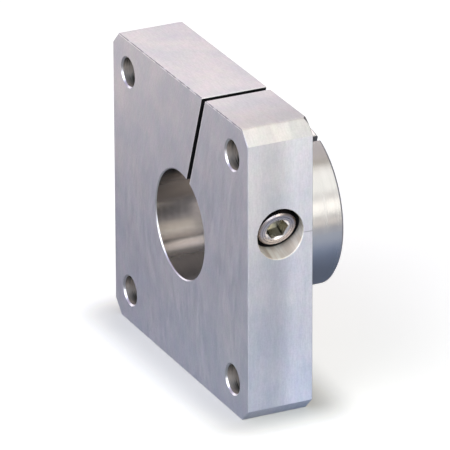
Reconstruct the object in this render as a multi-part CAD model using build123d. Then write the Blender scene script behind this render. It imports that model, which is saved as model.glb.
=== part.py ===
from build123d import *
import math
import os

# A square flange with a round hub behind it, cut from one bar, that grips a shaft in its bore.
# A slot from the bore to the top face splits the flange and the hub, and one socket head cap
# screw across the slot draws the two jaws together. The part was drawn in inches, so its sizes
# are given in inches here and worked in millimetres.
# Frame: origin where the shaft's axis meets the front face, X to the right as seen from the
# front, Y along the shaft to the back, Z up. The block stands on the flange's lower edge face.
INCH = 25.4

# Flange
flange_side = 2.75 * INCH
flange_thickness = 0.625 * INCH
corner_chamfer = 0.125 * INCH       # 45 degree cut on each of the four corners
edge_break = 0.12                   # deburred outer edges of the flange
rubbed_edge = 1.0                   # radius of the one corner edge that was rubbed round
nick_depth = 0.85                   # file mark on the rear end of that corner, along the shaft
nick_drop = 2.0                     # and down the corner's face

# Hub and bore
shaft_diameter = 1.0 * INCH
bore_chamfer = 0.25
hub_wall = 0.25 * INCH
hub_length = 0.625 * INCH
hub_chamfer = 0.6

# Mounting holes, one in each corner of the flange
mounting_hole_diameter = 17 / 64 * INCH
mounting_hole_inset = 0.3125 * INCH     # from the flange's edges to the holes' centres
mounting_hole_chamfer = 0.375

# Clamp slot, leaning to the right of upright
slot_width = INCH / 16
slot_tilt = 20.0
slot_break = 0.25                   # deburred edges along the slot

# Clamp screw, a quarter inch socket head cap screw square to the slot
thread_diameter = 0.25 * INCH
head_diameter = 0.36 * INCH
head_height = 0.25 * INCH
head_bevel_width = 0.45             # bevel round the head's face, across the screw
head_bevel_height = 0.3             # and along it
socket_across_flats = 3 / 16 * INCH
socket_depth = 0.12 * INCH
socket_point = 0.8                  # height of the cone left at the socket's bottom
socket_mouth_width = 0.2            # bevel where the key goes in, across the screw
socket_mouth_depth = 0.4            # and along it
socket_turn = 40.0                  # how far the socket is turned as the screw stands
tip_chamfer = 0.8
thread_engagement = 9.1             # length of screw in the tapped jaw
screw_wall = 5.0                    # metal between the bore and the screw's hole
head_sink = 1.57                    # from the side face down to the head, on the screw's axis

# Clearances
shank_clearance = 0.2               # round the shank in the drilled jaw
thread_clearance = 0.05             # round the shank in the tapped jaw
head_clearance = 0.02               # under the head, so that it turns on its seat
counterbore_diameter = 7 / 16 * INCH
counterbore_break = 0.15            # deburred mouth of the counterbore on the side face
tap_run_out = 3.0                   # hole beyond the screw's tip
drill_point_angle = 118.0

# Sizes that follow from the ones above
total_length = flange_thickness + hub_length
bore_radius = shaft_diameter / 2
hub_radius = bore_radius + hub_wall
hole_offset = flange_side / 2 - mounting_hole_inset
thread_radius = thread_diameter / 2
head_radius = head_diameter / 2
tap_radius = thread_radius + thread_clearance
shank_hole_radius = thread_radius + shank_clearance
tilt = math.radians(slot_tilt)
screw_height = bore_radius + screw_wall + shank_hole_radius     # from the shaft's axis
mouth = (flange_side / 2 - screw_height * math.sin(tilt)) / math.cos(tilt)
seat = mouth - head_sink - head_height - head_clearance         # from the slot's middle
shank_length = seat + head_clearance + slot_width / 2 + thread_engagement

# Places: the slot's middle plane holds the shaft's axis, and the screw crosses it squarely
slot_frame = Rot(0, slot_tilt, 0)
screw_axis = slot_frame * Pos(0, flange_thickness / 2, screw_height) * Rot(0, 90, 0)


def shaft_bar(radius, start, end):
    """A round bar on the shaft's axis, from one depth behind the front face to another."""
    return Pos(0, (start + end) / 2, 0) * Rot(90, 0, 0) * Cylinder(radius, end - start)


def hole_with_chamfers(radius, chamfer_size, depth):
    """A cutter for a hole from the front face to a depth, opened out at both of its mouths."""
    profile = Polyline(
        (0, 0),
        (radius + chamfer_size, 0),
        (radius, chamfer_size),
        (radius, depth - chamfer_size),
        (radius + chamfer_size, depth),
        (0, depth),
        close=True,
    )
    return revolve(make_face(profile), Axis.Y)


def flange():
    """The square plate with its corners cut off and its outer edges broken."""
    outline = Rectangle(flange_side, flange_side)
    outline = chamfer(outline.vertices(), corner_chamfer)
    plate = extrude(Plane.XZ * outline, -flange_thickness)
    # The upper edge of the upper right corner is rubbed round where the others stay crisp
    corner_edges = plate.edges().filter_by(Axis.Y).sort_by(Axis.Z)[-2:]
    plate = fillet(corner_edges.sort_by(Axis.X)[-1], rubbed_edge)
    faces = plate.faces().filter_by(Axis.Y)
    return chamfer(faces.edges(), edge_break)


def corner_nick():
    """The wedge filed off the rear end of the upper right corner."""
    half = flange_side / 2
    top = (half - corner_chamfer, half)
    slope = nick_drop / math.sqrt(2)
    front = (top[0], flange_thickness - nick_depth, top[1])
    lower = (top[0] + slope, flange_thickness, top[1] - slope)
    inner = (top[0] - nick_depth, flange_thickness, top[1])
    peak = (lower[0] + nick_depth, flange_thickness + nick_depth, top[1] + nick_depth)
    sides = [(front, lower, inner), (front, lower, peak), (lower, inner, peak), (inner, front, peak)]
    return Solid(Shell([Face(Wire.make_polygon(side, close=True)) for side in sides]))


def hub():
    """The round hub behind the flange, with its rear edge chamfered."""
    bar = shaft_bar(hub_radius, flange_thickness / 2, total_length)
    rim = bar.faces().sort_by(Axis.Y)[-1].edges()
    return chamfer(rim, hub_chamfer)


def mounting_holes():
    """The four cutters for the fixing screws."""
    cutter = hole_with_chamfers(
        mounting_hole_diameter / 2, mounting_hole_chamfer, flange_thickness)
    return [Pos(x, 0, z) * cutter
            for x in (-hole_offset, hole_offset) for z in (-hole_offset, hole_offset)]


def clamp_slot():
    """The saw cut from the shaft's axis up through the top face, over the whole length."""
    return slot_frame * Pos(0, total_length / 2, flange_side / 2) * Box(
        slot_width, 2 * total_length, flange_side)


def screw_holes():
    """The counterbore, the clear hole through the right jaw and the tapped hole in the left."""
    counterbore = screw_axis * Pos(0, 0, seat) * Cylinder(
        counterbore_diameter / 2, flange_side, align=(Align.CENTER, Align.CENTER, Align.MIN))
    shank_hole = screw_axis * Cylinder(
        shank_hole_radius, seat + head_height, align=(Align.CENTER, Align.CENTER, Align.MIN))
    tap_end = slot_width / 2 + thread_engagement + tap_run_out
    point_height = tap_radius / math.tan(math.radians(drill_point_angle / 2))
    profile = Polyline(
        (0, slot_width),
        (tap_radius, slot_width),
        (tap_radius, -tap_end),
        (0, -tap_end - point_height),
        close=True,
    )
    tapped_hole = screw_axis * Rot(90, 0, 0) * revolve(make_face(profile), Axis.Y)
    return [counterbore, shank_hole, tapped_hole]


def support_block():
    """The block: flange and hub in one piece, bored, drilled, split and counterbored."""
    block = flange() - corner_nick() + hub()
    block -= hole_with_chamfers(bore_radius, bore_chamfer, total_length)
    for cutter in mounting_holes():
        block -= cutter
    block -= clamp_slot()
    # The slot's edges are broken where they run along the top face, the hub and the bore
    wall_edges = [
        edge for edge in block.edges().filter_by(Axis.Y)
        if abs(abs((slot_frame.inverse() * edge).center().X) - slot_width / 2) < 0.001
    ]
    block = chamfer(wall_edges, slot_break)
    for cutter in screw_holes():
        block -= cutter
    side_face = block.faces().sort_by(Axis.X)[-1]
    return chamfer(side_face.inner_wires()[0].edges(), counterbore_break)


def clamp_screw():
    """The cap screw, seated in its counterbore; its thread is left as a plain shank."""
    under_head = seat + head_clearance
    top = under_head + head_height
    tip = under_head - shank_length
    profile = Polyline(
        (0, top),
        (head_radius - head_bevel_width, top),
        (head_radius, top - head_bevel_height),
        (head_radius, under_head),
        (thread_radius, under_head),
        (thread_radius, tip + tip_chamfer),
        (thread_radius - tip_chamfer, tip),
        (0, tip),
        close=True,
    )
    screw = Rot(90, 0, 0) * revolve(make_face(profile), Axis.Y)
    corner_radius = socket_across_flats / math.sqrt(3)
    hexagon = Rot(0, 0, socket_turn) * RegularPolygon(corner_radius, 6)
    screw -= extrude(Pos(0, 0, top - socket_depth) * hexagon, socket_depth)
    screw -= Pos(0, 0, top - socket_depth - socket_point) * Cone(
        0, socket_across_flats / 2, socket_point, align=(Align.CENTER, Align.CENTER, Align.MIN))
    flare = (corner_radius + socket_mouth_width / math.cos(math.radians(30))) / corner_radius
    mouth_hexagon = Rot(0, 0, socket_turn) * RegularPolygon(corner_radius * flare, 6)
    screw -= loft([
        Pos(0, 0, top - socket_mouth_depth) * hexagon,
        Pos(0, 0, top) * mouth_hexagon,
    ])
    return screw_axis * screw


os.makedirs("parts", exist_ok=True)
export_step(support_block(), "parts/support_block.step")
export_step(clamp_screw(), "parts/clamp_screw.step")
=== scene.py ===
# %% [markdown]
# # Shaft support block
# A square block of bare aluminium that stands on one of its edges. It holds a shaft in its bore,
# and one cap screw in its right side draws the sawn slot together so that the bore grips.
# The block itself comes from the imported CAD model, which is exact: it only gets a better finish
# here. The screw is modelled anew below, because the CAD leaves its thread out.

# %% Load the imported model
import math

import bpy
from mathutils import Euler, Matrix, Vector


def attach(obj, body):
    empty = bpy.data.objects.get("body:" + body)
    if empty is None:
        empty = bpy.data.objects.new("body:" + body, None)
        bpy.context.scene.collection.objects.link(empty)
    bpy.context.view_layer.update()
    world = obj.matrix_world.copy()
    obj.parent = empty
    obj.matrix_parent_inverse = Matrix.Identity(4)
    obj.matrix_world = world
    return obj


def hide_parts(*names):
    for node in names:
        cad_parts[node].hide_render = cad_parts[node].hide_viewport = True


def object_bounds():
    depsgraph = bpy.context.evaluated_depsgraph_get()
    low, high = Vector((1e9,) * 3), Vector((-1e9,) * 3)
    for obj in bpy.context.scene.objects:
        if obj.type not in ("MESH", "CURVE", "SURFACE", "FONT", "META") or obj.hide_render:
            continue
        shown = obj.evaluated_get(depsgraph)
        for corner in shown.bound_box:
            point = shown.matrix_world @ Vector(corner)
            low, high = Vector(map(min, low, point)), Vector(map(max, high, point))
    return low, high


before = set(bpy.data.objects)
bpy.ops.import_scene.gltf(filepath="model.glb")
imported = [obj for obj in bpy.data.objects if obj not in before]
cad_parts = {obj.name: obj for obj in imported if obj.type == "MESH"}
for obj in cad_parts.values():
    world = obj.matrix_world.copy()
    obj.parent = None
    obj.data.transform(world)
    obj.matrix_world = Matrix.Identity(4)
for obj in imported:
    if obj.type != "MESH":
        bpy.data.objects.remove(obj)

MM = 0.001
INCH = 25.4                         # in millimetres
cad_low, cad_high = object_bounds()
print("CAD box in mm:", [round(v / MM, 3) for v in (*cad_low, *cad_high)])

# %% [markdown]
# ## Camera
# The photograph was taken with a long lens from the block's front right, a little above it. A long
# lens keeps parallel edges nearly parallel, so the angles matter more than the distance. They were
# found by matching the corners of the block, and the camera is turned by its three axes rather than
# by pointing it at something, so that the small roll is kept too.

# %% Camera
camera_azimuth = math.radians(64.336 - 90)
camera_elevation = math.radians(23.417)
camera_roll = math.radians(-0.195)
camera_distance = 1.3707
camera_offset = Vector((10.13, -0.08)) * MM     # right and up, so that the block sits left of centre
lens_length = 489.4

backwards = Vector((
    math.cos(camera_elevation) * math.cos(camera_azimuth),
    math.cos(camera_elevation) * math.sin(camera_azimuth),
    math.sin(camera_elevation),
))
rightwards = Vector((0, 0, 1)).cross(backwards).normalized()
upwards = backwards.cross(rightwards)
axes = Matrix((rightwards, upwards, backwards)).transposed()
axes = axes @ Matrix.Rotation(camera_roll, 3, "Z")

bpy.ops.object.select_all(action="DESELECT")
bpy.ops.object.camera_add()
camera = bpy.context.object
camera.name = "camera"
place = backwards * camera_distance + axes @ Vector((*camera_offset, 0))
camera.matrix_world = Matrix.Translation(place) @ axes.to_4x4()
camera.data.lens = lens_length
camera.data.sensor_width = 36
camera.data.clip_end = 50
bpy.context.scene.camera = camera
print("Camera at", [round(v, 4) for v in place])

# %% [markdown]
# ## Node helpers
# Every finish below is built from nodes, so a few small helpers keep those cells readable. They
# add a node and fill or link its inputs, do arithmetic with values and vectors, mix values and
# colours, and begin a new group or material.

# %% Node helpers
def add_node(tree, kind, inputs=None, **settings):
    """A new node. Each input is given by name or number, as a value or as a socket to link."""
    made = tree.nodes.new(kind)
    for name, value in settings.items():
        setattr(made, name, value)
    for name, value in (inputs or {}).items():
        if isinstance(value, bpy.types.NodeSocket):
            tree.links.new(value, made.inputs[name])
        else:
            made.inputs[name].default_value = value
    return made


def calculate(tree, operation, *values, clamp=False):
    """The result of a Math node."""
    made = add_node(tree, "ShaderNodeMath", dict(enumerate(values)), operation=operation)
    made.use_clamp = clamp
    return made.outputs[0]


def product(tree, *values):
    """The values multiplied together. For masks, it is 1 only where every one of them is."""
    result = values[0]
    for value in values[1:]:
        result = calculate(tree, "MULTIPLY", result, value)
    return result


def calculate_vector(tree, operation, *values):
    """The result of a Vector Math node that puts out a vector."""
    return add_node(tree, "ShaderNodeVectorMath", dict(enumerate(values)),
                    operation=operation).outputs[0]


def separate(tree, vector):
    """The three parts of a vector."""
    return add_node(tree, "ShaderNodeSeparateXYZ", {0: vector}).outputs


def pick(tree, share, first, second):
    """The first value where share is 0, the second where it is 1, and a mix between."""
    return add_node(tree, "ShaderNodeMix", {0: share, 2: first, 3: second}).outputs[0]


def scale_colour(tree, colour, factor):
    """A colour made darker or brighter by a factor."""
    return add_node(tree, "ShaderNodeVectorMath", {0: colour, "Scale": factor},
                    operation="SCALE").outputs[0]


def blend_colours(tree, share, first, second, how="MIX"):
    """The second colour laid over the first one by a share from 0 to 1."""
    made = add_node(tree, "ShaderNodeMix", data_type="RGBA", blend_type=how)
    for name, value in (("Factor_Float", share), ("A_Color", first), ("B_Color", second)):
        socket = next(s for s in made.inputs if s.identifier == name)
        if isinstance(value, bpy.types.NodeSocket):
            tree.links.new(value, socket)
        else:
            socket.default_value = value
    return next(s for s in made.outputs if s.identifier == "Result_Color")


def ramp(tree, value, start, end, low=0.0, high=1.0, smooth=False):
    """A value carried from one range to another, and held at its ends."""
    made = add_node(tree, "ShaderNodeMapRange", {
        "Value": value, "From Min": start, "From Max": end, "To Min": low, "To Max": high})
    made.interpolation_type = "SMOOTHSTEP" if smooth else "LINEAR"
    return made.outputs["Result"]


def distance_from(tree, position, centre, across=(1, 1, 1)):
    """How far a position is from a centre, counting only the directions in across."""
    offset = calculate_vector(tree, "SUBTRACT", position, centre)
    kept = calculate_vector(tree, "MULTIPLY", offset, across)
    return add_node(tree, "ShaderNodeVectorMath", {0: kept}, operation="LENGTH").outputs["Value"]


def new_group(name, inputs, outputs):
    """An empty shader node group, with its own input and output nodes."""
    group = bpy.data.node_groups.new(name, "ShaderNodeTree")
    for title, kind, value in inputs:
        socket = group.interface.new_socket(title, in_out="INPUT", socket_type=kind)
        if value is not None:
            socket.default_value = value
    for title, kind in outputs:
        group.interface.new_socket(title, in_out="OUTPUT", socket_type=kind)
    return group, group.nodes.new("NodeGroupInput"), group.nodes.new("NodeGroupOutput")


def new_material(name):
    """A material with only its Principled BSDF and output left in it."""
    material = bpy.data.materials.new(name)
    material.use_nodes = True
    return material, material.node_tree, material.node_tree.nodes["Principled BSDF"]

# %% [markdown]
# ## Cutter marks
# Two marks cover the whole object. A milled or sawn face has long fine streaks where the cutter's
# teeth swept over it, and a turned or drilled surface has rings round its own axis. Both are one
# noise texture read through stretched coordinates: what is squeezed flat in one direction becomes a
# streak along it. They are built once as groups and used by both metals. Positions go in in
# millimetres, so the sizes in the groups are those of real tool marks.

# %% Streaks of a milled face
streaks, taken, given = new_group(
    "milled streaks",
    [("Across", "NodeSocketFloat", 0.0), ("Along", "NodeSocketFloat", 0.0),
     ("Streaks per mm", "NodeSocketFloat", 1.4), ("Length mm", "NodeSocketFloat", 9.0)],
    [("Streaks", "NodeSocketFloat"), ("Fine lines", "NodeSocketFloat")],
)
along = calculate(streaks, "DIVIDE", taken.outputs["Along"], taken.outputs["Length mm"])
for density, shortness, seed, name in ((1.0, 1.0, 3.7, "Streaks"), (3.2, 3.0, 11.3, "Fine lines")):
    across = product(streaks, taken.outputs["Across"], taken.outputs["Streaks per mm"], density)
    lengthwise = calculate(streaks, "MULTIPLY", along, shortness)
    point = add_node(streaks, "ShaderNodeCombineXYZ", {0: across, 1: lengthwise, 2: seed}).outputs[0]
    noise = add_node(streaks, "ShaderNodeTexNoise", {"Vector": point, "Scale": 1.0, "Detail": 2.0})
    streaks.links.new(noise.outputs["Fac"], given.inputs[name])
print("Group:", streaks.name)

# %% Rings of a turned surface
rings, taken, given = new_group(
    "turned rings",
    [("Across", "NodeSocketFloat", 0.0), ("Round", "NodeSocketVector", None),
     ("Rings per mm", "NodeSocketFloat", 4.0)],
    [("Rings", "NodeSocketFloat"), ("Bands", "NodeSocketFloat")],
)
for density, seed, name in ((1.0, 1.9, "Rings"), (0.2, 7.1, "Bands")):
    across = product(rings, taken.outputs["Across"], taken.outputs["Rings per mm"], density)
    slowly = calculate_vector(rings, "MULTIPLY", taken.outputs["Round"], (0.03,) * 3)
    apart = calculate_vector(rings, "ADD", slowly, (seed,) * 3)
    noise = add_node(rings, "ShaderNodeTexNoise", {
        "Vector": apart, "W": across, "Scale": 1.0, "Detail": 2.0}, noise_dimensions="4D")
    rings.links.new(noise.outputs["Fac"], given.inputs[name])
print("Group:", rings.name)

# %% Cloudy tint of bare metal
clouds, taken, given = new_group(
    "cloudy tint",
    [("Position", "NodeSocketVector", None), ("Patch mm", "NodeSocketFloat", 8.0)],
    [("Patches", "NodeSocketFloat"), ("Grain", "NodeSocketFloat")],
)
for size, seed, detail, name in ((1.0, 2.3, 3.0, "Patches"), (0.05, 8.8, 2.0, "Grain")):
    patch = calculate(clouds, "MULTIPLY", taken.outputs["Patch mm"], size)
    scale = calculate(clouds, "DIVIDE", 1.0, patch)
    apart = calculate_vector(clouds, "ADD", taken.outputs["Position"], (seed,) * 3)
    noise = add_node(clouds, "ShaderNodeTexNoise", {"Vector": apart, "Scale": scale, "Detail": detail})
    clouds.links.new(noise.outputs["Fac"], given.inputs[name])
print("Group:", clouds.name)

# %% [markdown]
# ## Bare aluminium
# The block's mesh stays as the CAD made it, so its different finishes are told apart by place: a
# point near the shaft's axis is bored, a point behind the flange is on the turned hub, a point
# near a corner hole or the screw's axis is drilled, and the rest is milled. Each zone then gets
# its own marks and roughness. Working from the object's own coordinates keeps this exact from any
# side, and needs no unwrapping.

# %% Where each finish is
bore_mouth_radius = 12.96                   # with its chamfer
hole_mouth_radius = 3.76                    # with its chamfer
hole_offset = 26.9875
counterbore_reach = 5.9                     # its radius and the broken edge round it
tapped_hole_end = -20.0                     # past it the screw's axis leaves through a corner
flange_thickness = 15.875
half_side = 34.925
slot_width = INCH / 16
slot_foot = 5.0                             # a height inside the bore, where the slot begins
screw_tilt = 20.0
screw_height = 21.075
screw_turn = Euler((0, math.radians(screw_tilt + 90), 0))
screw_place = Matrix.Rotation(math.radians(screw_tilt), 4, "Y") @ Vector(
    (0, flange_thickness / 2, screw_height))
print("Screw's axis passes through", [round(v, 2) for v in screw_place], "mm")


def in_screw_frame(tree, position):
    """A position in mm measured from the screw's own axis, which becomes Z."""
    return add_node(tree, "ShaderNodeMapping", {
        "Vector": position, "Location": screw_place, "Rotation": screw_turn},
        vector_type="TEXTURE").outputs[0]


def position_in_mm(tree):
    """The point on the piece, in the CAD's frame."""
    position = add_node(tree, "ShaderNodeTexCoord").outputs["Object"]
    return calculate_vector(tree, "MULTIPLY", position, (1 / MM,) * 3)

# %% Zones of the block
aluminium, tree, surface = new_material("bare_aluminium")
position = position_in_mm(tree)
x, y, z = separate(tree, position)
normal = add_node(tree, "ShaderNodeTexCoord").outputs["Normal"]
facing_x, facing_y, facing_z = separate(tree, normal)
faces_along_y = calculate(tree, "GREATER_THAN", calculate(tree, "ABSOLUTE", facing_y), 0.8)
faces_aside = calculate(tree, "GREATER_THAN", calculate(tree, "ABSOLUTE", facing_x), 0.9)
faces_up_or_down = calculate(tree, "GREATER_THAN", calculate(tree, "ABSOLUTE", facing_z), 0.6)
faces_straight_up = calculate(tree, "GREATER_THAN", facing_z, 0.9)
faces_sky = calculate(tree, "GREATER_THAN", facing_z, 0.5)

# The absolute position lays the four corner holes over each other
from_shaft = distance_from(tree, position, (0, 0, 0), (1, 0, 1))
folded = calculate_vector(tree, "ABSOLUTE", position)
from_hole = distance_from(tree, folded, (hole_offset, 0, hole_offset), (1, 0, 1))
on_screw_axis = in_screw_frame(tree, position)
from_screw = distance_from(tree, on_screw_axis, (0, 0, 0), (1, 1, 0))
depth = separate(tree, on_screw_axis)[2]
outermost = calculate(tree, "GREATER_THAN", calculate(tree, "MAXIMUM", x, z), half_side - 0.01)

bored = calculate(tree, "LESS_THAN", from_shaft, bore_mouth_radius)
behind = calculate(tree, "GREATER_THAN", y, flange_thickness + 0.05)
drilled = calculate(tree, "LESS_THAN", from_hole, hole_mouth_radius)
sunk = product(tree, calculate(tree, "LESS_THAN", from_screw, counterbore_reach),
               calculate(tree, "GREATER_THAN", depth, tapped_hole_end),
               calculate(tree, "SUBTRACT", 1.0, outermost))
turned = calculate(tree, "MAXIMUM", calculate(tree, "MAXIMUM", bored, behind),
                   calculate(tree, "MAXIMUM", drilled, sunk))

tilt = math.radians(screw_tilt)
from_slot = calculate(tree, "SUBTRACT", calculate(tree, "MULTIPLY", x, math.cos(tilt)),
                      calculate(tree, "MULTIPLY", z, math.sin(tilt)))
from_slot = calculate(tree, "ABSOLUTE", from_slot)
above_bore = calculate(tree, "GREATER_THAN", z, slot_foot)
sawn = product(tree, calculate(tree, "LESS_THAN", from_slot, slot_width / 2 + 0.01), above_bore)

# Bevels lean to the front or the back: those of the outline, and those in the mouths of holes
bevel = calculate(tree, "COMPARE", calculate(tree, "ABSOLUTE", facing_y), 0.6, 0.3)
outer_edge = product(tree, bevel, calculate(tree, "SUBTRACT", 1.0, turned))
mouth_edge = product(tree, bevel, calculate(tree, "MAXIMUM", bored, drilled))
print("Zones take", len(tree.nodes), "nodes")

# %% Tool marks on the block
# A big face mill leaves wide arcs on the front and back, and a smaller one straight streaks
arc_radius = 95.0
arc_middle = -10.0
above_middle = calculate(tree, "SUBTRACT", z, arc_middle)
bow = calculate(tree, "SQRT", calculate(
    tree, "SUBTRACT", arc_radius ** 2, product(tree, above_middle, above_middle)))
arc_across = calculate(tree, "ADD", x, bow)
milled = add_node(tree, "ShaderNodeGroup", {
    "Across": pick(tree, faces_along_y, y, arc_across),
    "Along": pick(tree, faces_along_y, pick(tree, faces_up_or_down, z, x), z),
    "Streaks per mm": 1.1, "Length mm": 6.0}, node_tree=streaks)
ringed = add_node(tree, "ShaderNodeGroup", {
    "Across": pick(tree, faces_along_y, y, from_shaft), "Round": position}, node_tree=rings)
cloudy = add_node(tree, "ShaderNodeGroup", {"Position": position}, node_tree=clouds)
blotched = add_node(tree, "ShaderNodeGroup", {"Position": position, "Patch mm": 2.6},
                    node_tree=clouds)

# The counterbore's wall has long ridges, where its cutter chattered
chatter_place = calculate_vector(tree, "MULTIPLY", on_screw_axis, (0.9, 0.9, 0.12))
chatter = add_node(tree, "ShaderNodeTexNoise", {
    "Vector": chatter_place, "Scale": 1.0, "Detail": 3.0}).outputs["Fac"]
print("The face mill's arcs have a radius of", arc_radius, "mm")

# %% [markdown]
# ## Colours of the aluminium
# Bare aluminium isn't one grey. Milled faces drift between a cooler and a warmer tint in soft
# patches, with fine scratches over them. The bore has a painted highlight in a band across its
# lower part and painted shade above that on its left wall, and is warmer and a little darker at the
# bottom. The corner holes are painted dark above and below a lighter band, a painted shade, and
# the counterbore's wall has painted shade in the gap round the screw's head and on its upper rear
# part. Each of these is a mask made from the place, laid over the ones before it.

# %% Colour of the milled faces
cool_aluminium = (0.635, 0.64, 0.685, 1)
warm_aluminium = (0.735, 0.71, 0.722, 1)
marks = pick(tree, turned, milled.outputs["Streaks"], ringed.outputs["Bands"])
tint = calculate(tree, "ADD", cloudy.outputs["Patches"], calculate(tree, "MULTIPLY", marks, 0.4))
colour = blend_colours(tree, ramp(tree, tint, 0.5, 0.9), cool_aluminium, warm_aluminium)

# Small blotches lean to green or to rose, and the grain is nearly the same in all directions
greenish = (0.985, 1.007, 0.99, 1)
rosy = (1.015, 0.99, 1.01, 1)
blotch = ramp(tree, blotched.outputs["Patches"], 0.35, 0.65)
colour = blend_colours(tree, 1.0, colour, blend_colours(tree, blotch, greenish, rosy), "MULTIPLY")
grain = calculate(tree, "ADD", milled.outputs["Fine lines"], cloudy.outputs["Grain"])
colour = scale_colour(tree, colour, ramp(tree, grain, 0.7, 1.3, 0.94, 1.06))

# Painted light and shade: the sides are painted a little darker just behind their front edge and brighter
# towards the rear, and the right end of the top is painted darker
side_front_painted_shade = ramp(tree, y, 0.5, 5.5, 0.97, 0.89, smooth=True)
side_rear_painted_light = ramp(tree, y, 6.5, 12.0, 0.0, 0.33, smooth=True)
side_painted_light = calculate(tree, "ADD", side_front_painted_shade, side_rear_painted_light)
top_right_painted_shade = ramp(tree, x, 14.0, 28.0, 1.0, 0.80)
brightness = pick(tree, faces_aside, pick(tree, faces_straight_up, 1.0, top_right_painted_shade), side_painted_light)
colour = scale_colour(tree, colour, brightness)
print("Milled colours:", cool_aluminium[:3], "to", warm_aluminium[:3])

# %% Colour of the bore
turned_aluminium = (0.83, 0.81, 0.78, 1)
bored_aluminium = (0.97, 0.95, 0.92, 1)
left_wall_aluminium = (0.84, 0.80, 0.76, 1)
bore_shade_aluminium = (0.33, 0.33, 0.325, 1)
highlight_aluminium = (1.0, 0.98, 0.96, 1)
bore_bottom_aluminium = (0.86, 0.78, 0.70, 1)
highlight_top = -7.0                             # heights of the painted bright band in the bore
highlight_foot = -9.8
highlight_fade = 1.2
# Painted light and shade in the bore: its left wall is painted darker than the rest, with painted shade
# growing towards its top. A painted highlight lies in a band across its lower part, and below that band
# it is warmer and a little darker
left_wall = ramp(tree, x, 0.0, -4.0)
painted_bore_shade = calculate(tree, "ADD", ramp(tree, z, -4.5, -1.5, 0.0, 0.5), ramp(tree, z, -1.5, 10.0, 0.0, 0.5))
bore_bottom = ramp(tree, z, highlight_foot, -11.5)
painted_highlight = product(tree, ramp(tree, z, highlight_top + highlight_fade, highlight_top),
               ramp(tree, z, highlight_foot - highlight_fade, highlight_foot), ramp(tree, y, 20.0, 10.0))
bore_wall = blend_colours(tree, left_wall, bored_aluminium, left_wall_aluminium)
for share, stain in (
        (product(tree, painted_bore_shade, left_wall), bore_shade_aluminium),
        (bore_bottom, bore_bottom_aluminium),
        (painted_highlight, highlight_aluminium)):
    bore_wall = blend_colours(tree, share, bore_wall, stain)
turned_colour = blend_colours(tree, bored, turned_aluminium, bore_wall)
print("The bore is worn bright from", highlight_top, "to", highlight_foot, "mm")

# %% Colour of the drilled holes and the counterbore
drilled_aluminium = (0.93, 0.83, 0.73, 1)
hole_shade_colour = (0.12, 0.12, 0.10, 1)
raggedness = 4.0                            # how far the rings push the painted shade's edge up or down
# Painted shade: each corner hole is painted dark above and below a lighter middle band, with ragged edges
hole_height = calculate(tree, "SUBTRACT", z, calculate(
    tree, "MULTIPLY", calculate(tree, "SIGN", z), hole_offset))
ragged = calculate(tree, "MULTIPLY", calculate(
    tree, "SUBTRACT", ringed.outputs["Rings"], 0.5), raggedness)
ragged = calculate(tree, "ADD", hole_height, ragged)
painted_hole_shade = calculate(tree, "MAXIMUM", ramp(tree, ragged, 0.2, 2.4), product(
    tree, ramp(tree, ragged, -1.6, -2.8), ramp(tree, y, 0.8, 2.2)))
hole_wall = blend_colours(tree, painted_hole_shade, drilled_aluminium, hole_shade_colour)
turned_colour = blend_colours(tree, drilled, turned_colour, hole_wall)

ridge_foot = (0.86, 0.77, 0.66, 1)
ridge_top = (1.0, 0.96, 0.88, 1)
wall_shade_colour = (0.24, 0.22, 0.18, 1)
gap_shade_colour = (0.04, 0.04, 0.04, 1)
gap_shade_level = 27.1                          # below it the gap round the screw's head is painted nearly black, a painted shade
# Painted shade: the upper rear part of the counterbore's wall is painted dark
painted_wall_shade = product(tree, ramp(tree, z, 7.5, 11.0), ramp(tree, y, 8.5, 11.0),
                  ramp(tree, chatter, 0.2, 0.6, 0.9, 0.5))
counterbore_wall = blend_colours(tree, ramp(tree, chatter, 0.4, 0.6), ridge_foot, ridge_top)
counterbore_wall = blend_colours(tree, painted_wall_shade, counterbore_wall, wall_shade_colour)
counterbore_wall = blend_colours(
    tree, ramp(tree, depth, gap_shade_level + 0.3, gap_shade_level), counterbore_wall, gap_shade_colour)
turned_colour = blend_colours(tree, sunk, turned_colour, counterbore_wall)

# Darker rings lie where a tool dragged, most of all at both ends of the corner holes
dragged_aluminium = (0.36, 0.33, 0.29, 1)
from_middle = calculate(tree, "ABSOLUTE", calculate(tree, "SUBTRACT", y, flange_thickness / 2))
near_mouth = ramp(tree, from_middle, 3.5, 5.0, 0.05, 0.40)
dragged = product(tree, ramp(tree, ringed.outputs["Rings"], 0.3, 0.7), pick(
    tree, drilled, 0.1, near_mouth))
turned_colour = blend_colours(tree, dragged, turned_colour, dragged_aluminium)

# Painted shade: the mouths of the holes are painted darker, so that only the softbox shows white in them
mouth_shade_colour = (0.58, 0.565, 0.565, 1)
turned_colour = blend_colours(tree, mouth_edge, turned_colour, mouth_shade_colour)
colour = blend_colours(tree, turned, colour, turned_colour)
print("Colours of the block take", len(tree.nodes), "nodes so far")

# %% Scratch, painted edge shade and painted highlights
# One scratch runs from the counterbore to the rear edge of the right side
scratch_height = 9.75
scratch_slope = 0.04
scratch_colour = (0.30, 0.29, 0.31, 1)
from_scratch = calculate(tree, "ADD", z, calculate(tree, "MULTIPLY", y, scratch_slope))
from_scratch = calculate(tree, "ABSOLUTE", calculate(tree, "SUBTRACT", from_scratch, scratch_height))
scratch = product(tree, ramp(tree, from_scratch, 0.14, 0.05, 0.0, 0.6), ramp(tree, y, 13.0, 13.5),
                  outermost, faces_aside)
colour = blend_colours(tree, scratch, colour, scratch_colour)

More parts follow.
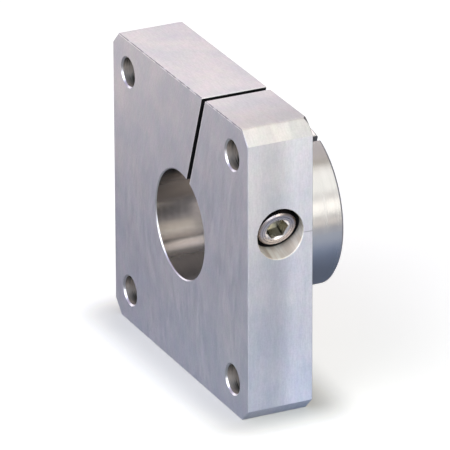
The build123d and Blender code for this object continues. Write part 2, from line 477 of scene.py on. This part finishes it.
# Painted shade: the bevels along the upper edges are painted dark, broken by lighter spots
edge_spot = add_node(tree, "ShaderNodeTexNoise", {
    "Vector": position, "Scale": 0.45, "Detail": 4.0}).outputs["Fac"]
upper_edge_shade = (0.30, 0.29, 0.30, 1)
edge_spot_colour = (0.62, 0.61, 0.62, 1)
other_edge = (0.60, 0.59, 0.61, 1)
upper_edge_with_painted_shade = blend_colours(tree, ramp(tree, edge_spot, 0.52, 0.62), upper_edge_shade, edge_spot_colour)
edge_colour = blend_colours(tree, faces_sky, other_edge, upper_edge_with_painted_shade)
colour = blend_colours(tree, outer_edge, colour, edge_colour)

# Painted highlights: bright strips in places just below the upper edge and along the saw cut
below_edge = calculate(tree, "SUBTRACT", half_side, z)
highlight_below_edge = product(tree, ramp(tree, below_edge, 0.5, 0.3), faces_along_y,
                 ramp(tree, edge_spot, 0.42, 0.5))
beside_slot = calculate(tree, "SUBTRACT", from_slot, slot_width / 2)
highlight_beside_slot = product(tree, ramp(tree, beside_slot, 0.35, 0.15), faces_along_y, above_bore,
               ramp(tree, edge_spot, 0.35, 0.55, 0.3, 0.9))
highlight_edge_aluminium = (0.96, 0.94, 0.93, 1)
colour = blend_colours(tree, calculate(tree, "MAXIMUM", highlight_below_edge, highlight_beside_slot), colour, highlight_edge_aluminium)

# Painted shade: the saw cut is painted black in the flange, and lighter grey through the hub
cut_shade_colour = (0.05, 0.05, 0.05, 1)
lighter_cut_colour = (0.35, 0.34, 0.33, 1)
colour = blend_colours(tree, sawn, colour, blend_colours(tree, behind, cut_shade_colour, lighter_cut_colour))
tree.links.new(colour, surface.inputs["Base Color"])
print("The scratch is", scratch_height, "mm above the shaft's axis")

# %% [markdown]
# ## Roughness and relief
# What a tool leaves behind shows most in how sharply the metal mirrors: a turned hub mirrors the
# studio in soft bands, a face mill leaves a satin, and a drill or a saw leaves it matt. A drill's
# feed marks are also deeper than those of the boring tool and the mill, so its bump is stronger.

# %% Roughness and relief
bands = ringed.outputs["Bands"]
rough_bored = pick(tree, bore_bottom, ramp(tree, bands, 0.3, 0.7, 0.16, 0.22), 0.36)
rough_bored = pick(tree, painted_highlight, rough_bored, 0.17)
roughness = ramp(tree, bands, 0.3, 0.7, 0.21, 0.28)
for zone, finish in (
        (bored, rough_bored),
        (drilled, ramp(tree, bands, 0.3, 0.7, 0.50, 0.60)),
        (sunk, ramp(tree, chatter, 0.3, 0.7, 0.60, 0.72))):
    roughness = pick(tree, zone, roughness, finish)
rough_milled = ramp(tree, milled.outputs["Streaks"], 0.3, 0.7, 0.41, 0.51)
roughness = pick(tree, turned, rough_milled, roughness)
roughness = pick(tree, mouth_edge, roughness, 0.28)
roughness = pick(tree, calculate(tree, "MAXIMUM", sawn, outer_edge), roughness, 0.6)
tree.links.new(roughness, surface.inputs["Roughness"])

fine = pick(tree, turned, milled.outputs["Fine lines"], ringed.outputs["Rings"])
fine = product(tree, fine, pick(tree, drilled, 0.7, 4.0))
relief = calculate(tree, "ADD", fine, calculate(tree, "MULTIPLY", cloudy.outputs["Grain"], 0.5))
bump = add_node(tree, "ShaderNodeBump", {"Strength": 0.35, "Distance": 0.01 * MM, "Height": relief})
tree.links.new(bump.outputs[0], surface.inputs["Normal"])
surface.inputs["Metallic"].default_value = 1.0
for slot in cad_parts["support_block"].material_slots:
    slot.material = aluminium
print("Aluminium has", len(tree.nodes), "nodes")

# %% [markdown]
# ## The screw's head
# The cap screw is modelled standing upright on its own axis and is laid into the block at the end,
# because everything about it is round that axis. The head is a short bar that grows upwards by
# extruding its end face: a plain collar, the knurled band and the bevelled rim. The knurl is what
# fingers turn the screw by, and it is made by drawing every second point of the band inwards, as
# the knurling wheel presses its grooves. One unit is a millimetre here, because the operators'
# merging distances suit things of about a metre: it is all scaled down when it is laid in place.

# %% Sizes along the screw's axis
under_head = 21.575
head_radius = 0.18 * INCH
head_height = 0.25 * INCH
head_top = under_head + head_height
rim_bevel_width = 0.36
rim_bevel_height = 0.3
crown = 0.05                        # the faced end stands this little above its own bevel
knurl_teeth = 54
knurl_depth = 0.14
knurl_margin = 0.5
knurl_fade = 0.12


def select_only(piece, kind, wanted):
    """In edit mode, selects each face or vertex for which wanted holds, and nothing else."""
    bpy.ops.object.mode_set(mode="OBJECT")
    for group in (piece.data.vertices, piece.data.edges, piece.data.polygons):
        group.foreach_set("select", [False] * len(group))
    for part in piece.data.polygons if kind == "FACE" else piece.data.vertices:
        part.select = wanted(part)
    bpy.ops.object.mode_set(mode="EDIT")
    bpy.ops.mesh.select_mode(type=kind)


def add_bar(name, radius, low, high, sides=96):
    """A bar standing on Z from one height to another."""
    bpy.ops.object.select_all(action="DESELECT")
    bpy.ops.mesh.primitive_cylinder_add(
        vertices=sides, radius=radius, depth=high - low, location=(0, 0, (low + high) / 2))
    bar = bpy.context.object
    bar.name = name
    bpy.ops.object.transform_apply(location=True, rotation=True, scale=True)
    return bar


def grow_end(bar, rise, scale=1.0):
    """Extrudes the bar's upper end, or its lower one if rise is negative, and resizes it."""
    select_only(bar, "FACE", lambda face: face.normal.z * rise > 0.99 * abs(rise))
    bpy.ops.mesh.extrude_region_move(TRANSFORM_OT_translate={"value": (0, 0, rise)})
    bpy.ops.transform.resize(value=(scale, scale, 1))
    bpy.ops.object.mode_set(mode="OBJECT")

# %% Head
head = add_bar("screw_head", head_radius, under_head, under_head + knurl_margin, 2 * knurl_teeth)
knurl_low = under_head + knurl_margin + knurl_fade
knurl_high = head_top - rim_bevel_height - 2 * knurl_fade
grow_end(head, knurl_fade)
grow_end(head, knurl_high - knurl_low)
grow_end(head, knurl_fade)
grow_end(head, head_top - rim_bevel_height - knurl_high - knurl_fade)
grow_end(head, rim_bevel_height - crown, (head_radius - rim_bevel_width) / head_radius)
grow_end(head, crown, 0.98)


def in_a_groove(point):
    """Every second point of the rings between the collar and the bevel, whose edge it notches."""
    in_band = knurl_low - 0.01 < point.co.z < head_top - rim_bevel_height + 0.01
    turn = math.atan2(point.co.y, point.co.x) / (2 * math.pi) * 2 * knurl_teeth
    return in_band and round(turn) % 2 == 0


select_only(head, "VERT", in_a_groove)
groove_scale = (head_radius - knurl_depth) / head_radius
bpy.ops.transform.resize(value=(groove_scale, groove_scale, 1))
bpy.ops.object.mode_set(mode="OBJECT")
print("Head has", len(head.data.polygons), "faces and", knurl_teeth, "knurled teeth")

# %% [markdown]
# ## The thread
# A thread is one small V carried up a helix. The profile is drawn point by point, one pitch high,
# and the Screw modifier turns it round the axis while it climbs one pitch a turn. Each turn ends
# where the next begins, so merging them makes one closed skin. It is made longer and a little
# taller than needed: a Boolean intersection with the plain shank then trims the crests to the
# screw's size and gives the tip its chamfer, as turning the blank does on a real screw.

# %% Thread
thread_radius = 0.125 * INCH
thread_pitch = INCH / 20
thread_length = 1.0 * INCH
screw_tip = -9.8942
tip_chamfer = 0.8
flank_slope = math.tan(math.radians(60))    # outwards for each unit along the axis
crest_radius = thread_radius + 0.08         # before the crests are trimmed
thread_depth = 0.5413 * thread_pitch        # of a 60 degree thread with a flat root
root_radius = thread_radius - thread_depth
flank = (crest_radius - root_radius) / flank_slope
root_flat = thread_pitch / 4
crest_flat = thread_pitch - root_flat - 2 * flank

bpy.ops.object.select_all(action="DESELECT")
bpy.ops.mesh.primitive_plane_add(size=1)
thread = bpy.context.object
thread.name = "screw_thread"
bpy.ops.object.mode_set(mode="EDIT")
bpy.ops.mesh.select_all(action="SELECT")
bpy.ops.mesh.merge(type="CENTER")
thread_bottom = screw_tip - 2.5 * thread_pitch
bpy.ops.transform.translate(value=(root_radius, 0, thread_bottom))
profile_steps = ((crest_radius - root_radius, flank), (0, crest_flat),
                 (root_radius - crest_radius, flank), (0, root_flat))
for outwards, upwards_step in profile_steps:
    bpy.ops.mesh.extrude_region_move(
        TRANSFORM_OT_translate={"value": (outwards, 0, upwards_step)})
bpy.ops.object.mode_set(mode="OBJECT")

winding = thread.modifiers.new("winding", "SCREW")
winding.screw_offset = thread_pitch
winding.iterations = math.ceil(thread_length / thread_pitch) + 4
winding.steps = winding.render_steps = 40
winding.use_merge_vertices = True
winding.merge_threshold = 0.001
bpy.ops.object.modifier_apply(modifier="winding")
bpy.ops.object.mode_set(mode="EDIT")
bpy.ops.mesh.select_all(action="SELECT")
bpy.ops.mesh.remove_doubles(threshold=0.001)
for cut, side in ((screw_tip - thread_pitch, 1), (screw_tip + thread_length + thread_pitch, -1)):
    bpy.ops.mesh.select_all(action="SELECT")
    bpy.ops.mesh.bisect(plane_co=(0, 0, cut), plane_no=(0, 0, side), use_fill=True,
                        clear_inner=True, threshold=0.0001)
bpy.ops.mesh.select_all(action="SELECT")
bpy.ops.mesh.normals_make_consistent(inside=False)
bpy.ops.object.mode_set(mode="OBJECT")
print("Thread has", len(thread.data.polygons), "faces")

# %% [markdown]
# ## Putting the screw together
# The thread runs out into a plain neck under the head. A fat bar with a coned end, joined to the
# helix, makes that run-out when both are trimmed by the blank. The key's socket is then cut with
# a drill that has a coned point, a hexagonal bar and a countersink, in the order a maker has: the
# hole is drilled first, the hexagon is pressed in, and its mouth is countersunk last.

# %% Join and cut
socket_across_flats = 3 / 16 * INCH
socket_depth = 0.12 * INCH
socket_point = 0.8
countersink_radius = 2.95
countersink_slope = math.radians(30)
socket_turn = 40.0                                  # as the screw stands in the photograph


def combine(piece, tool, operation):
    """Joins, trims or cuts a piece with a tool, which is used up."""
    boolean = piece.modifiers.new("boolean", "BOOLEAN")
    boolean.operation = operation
    boolean.solver = "EXACT"
    boolean.object = tool
    bpy.ops.object.select_all(action="DESELECT")
    bpy.context.view_layer.objects.active = piece
    piece.select_set(True)
    bpy.ops.object.modifier_apply(modifier="boolean")
    used = tool.data
    bpy.data.objects.remove(tool)
    bpy.data.meshes.remove(used)


neck_radius = crest_radius + 0.5
neck = add_bar("screw_neck", neck_radius, screw_tip + thread_length, under_head + 2)
run_out_length = 1.5
grow_end(neck, -run_out_length, 0.55)
combine(thread, neck, "UNION")
blank = add_bar("screw_blank", thread_radius, screw_tip + tip_chamfer, under_head + 1, 120)
grow_end(blank, -tip_chamfer, (thread_radius - tip_chamfer) / thread_radius)
combine(thread, blank, "INTERSECT")
combine(head, thread, "UNION")

socket_bottom = head_top - socket_depth
hexagon_radius = socket_across_flats / math.sqrt(3)
hexagon = add_bar("hexagon", hexagon_radius, socket_bottom, head_top + 1, 6)
countersink = add_bar("countersink", countersink_radius, head_top, head_top + 1)
countersink_depth = 0.5
countersink_foot = countersink_radius - countersink_depth / math.tan(countersink_slope)
grow_end(countersink, -countersink_depth, countersink_foot / countersink_radius)
bpy.ops.object.select_all(action="DESELECT")
hexagon.select_set(True)
bpy.context.view_layer.objects.active = hexagon
bpy.ops.object.mode_set(mode="EDIT")
bpy.ops.mesh.select_all(action="SELECT")
bpy.ops.transform.rotate(
    value=-math.radians(socket_turn - 30), orient_axis="Z", center_override=(0, 0, 0))
bpy.ops.object.mode_set(mode="OBJECT")
corner = math.degrees(math.atan2(hexagon.data.vertices[0].co.y, hexagon.data.vertices[0].co.x))
print("A corner of the socket stands at", round(corner % 60, 2), "degrees")
drill = add_bar("drill", socket_across_flats / 2 - 0.02, socket_bottom, head_top + 1, 48)
grow_end(drill, -socket_point, 0.001)
for tool in (drill, hexagon, countersink):
    combine(head, tool, "DIFFERENCE")

# %% Clean the screw and lay it into the block
screw = head
screw.name = "cap_screw"
bpy.ops.object.mode_set(mode="EDIT")
bpy.ops.mesh.select_all(action="SELECT")
bpy.ops.mesh.remove_doubles(threshold=0.001)
bpy.ops.mesh.dissolve_degenerate(threshold=0.001)
bpy.ops.mesh.select_mode(type="VERT")
bpy.ops.mesh.select_all(action="DESELECT")
bpy.ops.mesh.select_non_manifold()
bpy.ops.object.mode_set(mode="OBJECT")
open_edges = sum(edge.select for edge in screw.data.edges)

screw.matrix_world = (
    Matrix.Rotation(math.radians(screw_tilt), 4, "Y")
    @ Matrix.Translation(Vector((0, flange_thickness / 2, screw_height)) * MM)
    @ Matrix.Rotation(math.radians(90), 4, "Y")
    @ Matrix.Scale(MM, 4)
)
bpy.ops.object.select_all(action="DESELECT")
screw.select_set(True)
bpy.context.view_layer.objects.active = screw
bpy.ops.object.transform_apply(location=True, rotation=True, scale=True)
bpy.ops.object.shade_smooth_by_angle(angle=math.radians(28))
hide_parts("clamp_screw")
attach(screw, "screw")
print("Screw has", len(screw.data.polygons), "faces and", open_edges, "open edges")

# %% [markdown]
# ## Plain steel
# The screw is bare steel, darker and a little warmer than the aluminium. Its head was faced on a
# lathe, so its marks are rings round its own axis, read through a Mapping node that turns the
# pattern onto the piece. The socket keeps oil and dust, which darken it. The hexagon's corners
# are painted nearly black, a painted shade, and the countersink at its mouth is painted nearly
# white, a painted highlight.

# %% Where each mark is on the screw
steel, tree, surface = new_material("screw_steel_finish")
position = position_in_mm(tree)
upright = in_screw_frame(tree, position)
along_axis = separate(tree, upright)[2]
from_axis = distance_from(tree, upright, (0, 0, 0), (1, 1, 0))
ringed = add_node(tree, "ShaderNodeGroup", {
    "Across": from_axis, "Round": upright, "Rings per mm": 3.5}, node_tree=rings)
cloudy = add_node(tree, "ShaderNodeGroup", {"Position": position, "Patch mm": 3.0}, node_tree=clouds)
faced_groove = calculate(tree, "COMPARE", from_axis, head_radius - 0.95, 0.09)
in_socket = product(tree, ramp(tree, from_axis, 2.85, 2.75),
                    ramp(tree, along_axis, head_top - 0.2, head_top - 1.2))
shaded_corner = product(tree, in_socket, ramp(tree, from_axis, 2.58, 2.70))
countersunk = product(tree, ramp(tree, from_axis, countersink_radius, countersink_radius - 0.03),
                      ramp(tree, along_axis, head_top - 0.36, head_top - 0.30),
                      ramp(tree, along_axis, head_top - 0.01, head_top - 0.03))
print("Marks on the screw take", len(tree.nodes), "nodes")

# %% Steel
cool_steel = (0.41, 0.355, 0.35, 1)
warm_steel = (0.61, 0.54, 0.50, 1)
groove_shade = (0.12, 0.11, 0.12, 1)
oiled_steel = (0.45, 0.43, 0.36, 1)
corner_shade_colour = (0.05, 0.05, 0.04, 1)
countersink_highlight_steel = (0.96, 0.93, 0.91, 1)
colour = blend_colours(tree, ramp(tree, ringed.outputs["Rings"], 0.38, 0.62), cool_steel, warm_steel)
# Painted shade in the hexagon's corners, and a painted highlight on the countersink
for share, shade in (
        (product(tree, faced_groove, 0.6), groove_shade),
        (in_socket, oiled_steel),
        (shaded_corner, corner_shade_colour),
        (countersunk, countersink_highlight_steel)):
    colour = blend_colours(tree, share, colour, shade)
tree.links.new(colour, surface.inputs["Base Color"])
roughness = ramp(tree, cloudy.outputs["Patches"], 0.3, 0.7, 0.22, 0.36)
tree.links.new(roughness, surface.inputs["Roughness"])
relief = calculate(tree, "ADD", ringed.outputs["Rings"],
                   calculate(tree, "MULTIPLY", cloudy.outputs["Grain"], 0.5))
bump = add_node(tree, "ShaderNodeBump", {"Strength": 0.5, "Distance": 0.02 * MM, "Height": relief})
tree.links.new(bump.outputs[0], surface.inputs["Normal"])
surface.inputs["Metallic"].default_value = 1.0
screw.data.materials.clear()
screw.data.materials.append(steel)
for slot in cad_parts["clamp_screw"].material_slots:
    slot.material = steel
print("Steel has", len(tree.nodes), "nodes")

# %% [markdown]
# ## Paper sweep
# The block stands on pale paper, and the photograph shows the paper as pure white with a faint
# shadow at the block's foot. The paper is a diffuse surface that takes that shadow, with a glow
# added for the camera that brings the unshaded part up to white. That glow is weaker near the
# foot, which paints a darker shadow round the block on top of the real one. Metal mirrors what is
# round it, so reflections meet the glow too: there it follows how brightly the paper is lit from
# place to place, dim in the block's own shade near its foot and brighter further off.

# %% Floor
floor_size = 12.0
bpy.ops.object.select_all(action="DESELECT")
bpy.ops.mesh.primitive_plane_add(size=floor_size, location=(0, 0, cad_low.z - 0.01 * MM))
floor = bpy.context.object
floor.name = "paper_floor"
bpy.ops.object.transform_apply(location=True, rotation=True, scale=True)
print("Floor lies at", round(cad_low.z / MM, 3), "mm")

# %% Light on the paper
paper, tree, surface = new_material("white_paper")
tree.nodes.remove(surface)
position = position_in_mm(tree)
light_path = add_node(tree, "ShaderNodeLightPath")
seen_by_camera = light_path.outputs["Is Camera Ray"]
seen_in_metal = calculate(tree, "ADD", light_path.outputs["Is Glossy Ray"],
                          light_path.outputs["Is Transmission Ray"], clamp=True)
black = (0.0, 0.0, 0.0)


def add_light(tree, total, share, colour):
    """A running total of light, with one more source of a colour added by a share."""
    return calculate_vector(tree, "ADD", total, scale_colour(tree, colour, share))


patches = (
    ((-270, -130, 0), 90, 200, (0.69, 0.59, 0.48)),     # further off, left in front
    ((10, -30, 0), 10, 60, (0.05, 0.07, 0.06)),         # at the block's foot, in front
    ((48, 14, 0), 5, 30, (0.26, 0.31, 0.42)),           # at its foot, to the right
    ((90, 45, 0), 25, 60, (0.12, 0.15, 0.21)),          # a little further to the right
    ((350, 160, 0), 100, 250, (0.60, 0.53, 0.45)),      # far off to the right
    ((190, -290, 0), 60, 190, (1.60, 1.55, 1.50)),      # under the softbox beside the camera
)
lit_paper = black
for middle, inner, outer, colour in patches:
    from_patch = distance_from(tree, position, middle, (1, 1, 0))
    patch = ramp(tree, from_patch, inner, outer, 1.0, 0.0, smooth=True)
    lit_paper = add_light(tree, lit_paper, patch, colour)
print("Paper is lit in", len(patches), "patches")

# %% Paper
foot_middle = (0, 7.9, 0)
foot_half_size = (31.7, 7.9, 0)                 # what the block stands on
off_middle = calculate_vector(tree, "ABSOLUTE", calculate_vector(
    tree, "SUBTRACT", position, foot_middle))
beyond_foot = calculate_vector(tree, "SUBTRACT", off_middle, foot_half_size)
beyond_foot = calculate_vector(tree, "MAXIMUM", beyond_foot, (0, 0, 0))
from_foot = distance_from(tree, beyond_foot, (0, 0, 0), (1, 1, 0))
# Painted shadow: the camera's glow is weaker near the foot, which darkens the paper round the block on
# top of its real shadow
foot_glow_with_painted_shadow = ramp(tree, from_foot, 1.0, 14.0, 0.12, 0.55, smooth=True)
further_off = ramp(tree, from_foot, 25.0, 70.0, 0.0, 0.07, smooth=True)
for_camera = calculate(tree, "ADD", foot_glow_with_painted_shadow, further_off)
for_camera = add_node(tree, "ShaderNodeCombineXYZ", {0: for_camera, 1: for_camera, 2: for_camera})
shaded = ramp(tree, from_foot, 0.0, 4.0, 0.3, 1.0)
glow_colour = add_light(tree, black, product(tree, seen_in_metal, shaded), lit_paper)
glow_colour = add_light(tree, glow_colour, seen_by_camera, for_camera.outputs[0])

grey_paper = (0.35, 0.35, 0.35, 1)
shaded_paper = (0.22, 0.26, 0.34, 1)
white_paper = (0.70, 0.68, 0.60, 1)
hub_shade = (18, 45, 0)                         # where the hub keeps the light off the paper
from_hub = distance_from(tree, position, hub_shade, (1, 1, 0))
under_hub = ramp(tree, from_hub, 20, 55, 1.0, 0.0, smooth=True)
paper_colour = blend_colours(tree, seen_by_camera, blend_colours(
    tree, under_hub, grey_paper, shaded_paper), white_paper)
paper_diffuse = add_node(tree, "ShaderNodeBsdfDiffuse", {"Color": paper_colour})
glow = add_node(tree, "ShaderNodeEmission", {"Color": glow_colour, "Strength": 1.0})
lit_and_glowing = add_node(tree, "ShaderNodeAddShader", {
    0: paper_diffuse.outputs[0], 1: glow.outputs[0]})
tree.links.new(lit_and_glowing.outputs[0], tree.nodes["Material Output"].inputs["Surface"])
floor.data.materials.append(paper)
print("Paper has", len(tree.nodes), "nodes")

# %% [markdown]
# ## Studio light
# Bare metal shows little but what it mirrors, so the studio is laid out by what each face looks
# at from the camera's side. The top face looks back over its left shoulder, the side and the hub
# look past the right, where a white wall and a long softbox stand, and the front looks at the
# paper on the left. The world holds the far, soft light, and area lamps the near panels, because
# a near panel's edge is what draws the slanting gradient on the side and the band on the corner.

# %% World
world = bpy.data.worlds.new("studio")
bpy.context.scene.world = world
world.use_nodes = True
tree = world.node_tree
background = tree.nodes["Background"]
direction = add_node(tree, "ShaderNodeTexCoord").outputs["Generated"]


def lobe(towards, inner, outer):
    """1 within an angle of a direction, falling smoothly to 0 at a wider angle."""
    aim = Vector(towards).normalized()
    along_aim = add_node(tree, "ShaderNodeVectorMath", {0: direction, 1: aim},
                         operation="DOT_PRODUCT").outputs["Value"]
    return ramp(tree, along_aim, math.cos(math.radians(outer)), math.cos(math.radians(inner)),
                smooth=True)


far_lights = (
    ((-0.83, 0.40, 0.40), 5, 40, (0.83, 0.78, 0.81)),       # back left, mirrored by the top
    ((-0.60, -0.70, 0.20), 20, 70, (0.72, 0.66, 0.87)),     # window in front, to the left
    ((-0.85, -0.45, 0.15), 5, 25, (1.55, 1.55, 1.59)),      # its lower part
    ((0.33, -0.88, 0.30), 10, 33, (2.90, 2.81, 2.76)),      # softbox beside the camera
    ((0.70, -0.70, 0.20), 20, 70, (0.29, 0.54, 0.95)),      # cooler daylight from the right
    ((-0.28, 0.40, 0.87), 18, 34, (0.50, 0.47, 0.50)),      # pale ceiling behind the block
    ((-0.56, 0.40, 0.73), 4, 16, (0.55, 0.52, 0.51)),       # its lamp, mirrored in the bore
    ((0.24, 0.40, 0.89), 4, 13, (0.25, 0.23, 0.21)),        # its nearer edge
    ((0.46, 0.40, 0.79), 4, 13, (0.60, 0.56, 0.57)),        # a little lower still
    ((0.914, 0.397, 0.080), 8, 20, (0.90, 0.89, 0.85)),     # white wall, low on the right
    ((0.818, 0.397, 0.417), 10, 28, (0.59, 0.56, 0.54)),    # higher up on it
    ((0.614, 0.397, 0.682), 10, 22, (0.59, 0.62, 0.62)),    # and at its top
)
room = black
for towards, inner, outer, colour in far_lights:
    room = add_light(tree, room, lobe(towards, inner, outer), colour)
seen_by_camera = add_node(tree, "ShaderNodeLightPath").outputs["Is Camera Ray"]
shown = blend_colours(tree, seen_by_camera, room, (1, 1, 1, 1))
tree.links.new(shown, background.inputs["Color"])
print("World has", len(far_lights), "far lights")

# %% Lamps
def add_panel(name, place, aim, width, height, brightness):
    """A rectangular softbox at a place in mm that faces a point, as bright as a lit surface."""
    bpy.ops.object.select_all(action="DESELECT")
    bpy.ops.object.light_add(type="AREA", location=Vector(place) * MM)
    panel = bpy.context.object
    panel.name = name
    panel.data.shape = "RECTANGLE"
    panel.data.size = width * MM
    panel.data.size_y = height * MM
    panel.data.color = brightness
    panel.data.energy = math.pi * width * height * MM ** 2
    panel.visible_camera = False
    facing = (Vector(aim) - Vector(place)).to_track_quat("-Z", "Y")
    panel.rotation_euler = facing.to_euler()
    return panel


add_panel("long_softbox", (230, 52, 27), (230, -500, 27), 180, 125, (2.38, 2.31, 2.01))
add_panel("long_softbox_end", (380, 52, 27), (380, -500, 27), 120, 125, (0.87, 0.87, 0.85))
add_panel("upper_softbox", (122, 52, 155), (122, -500, 155), 155, 130, (1.53, 1.48, 1.14))
add_panel("upper_reflector", (-55, 52, 160), (-55, -500, 160), 200, 120, (1.03, 0.91, 0.71))
add_panel("right_softbox", (400, -100, 100), (0, 0, 0), 250, 250, (2.38, 2.42, 2.40))
add_panel("front_softbox", (150, -300, 300), (0, 0, 0), 250, 250, (1.08, 1.09, 1.18))

# %% [markdown]
# ## Picture
# The picture is shown as rendered, with no film curve.

# %% View
bpy.context.scene.view_settings.view_transform = "Standard"
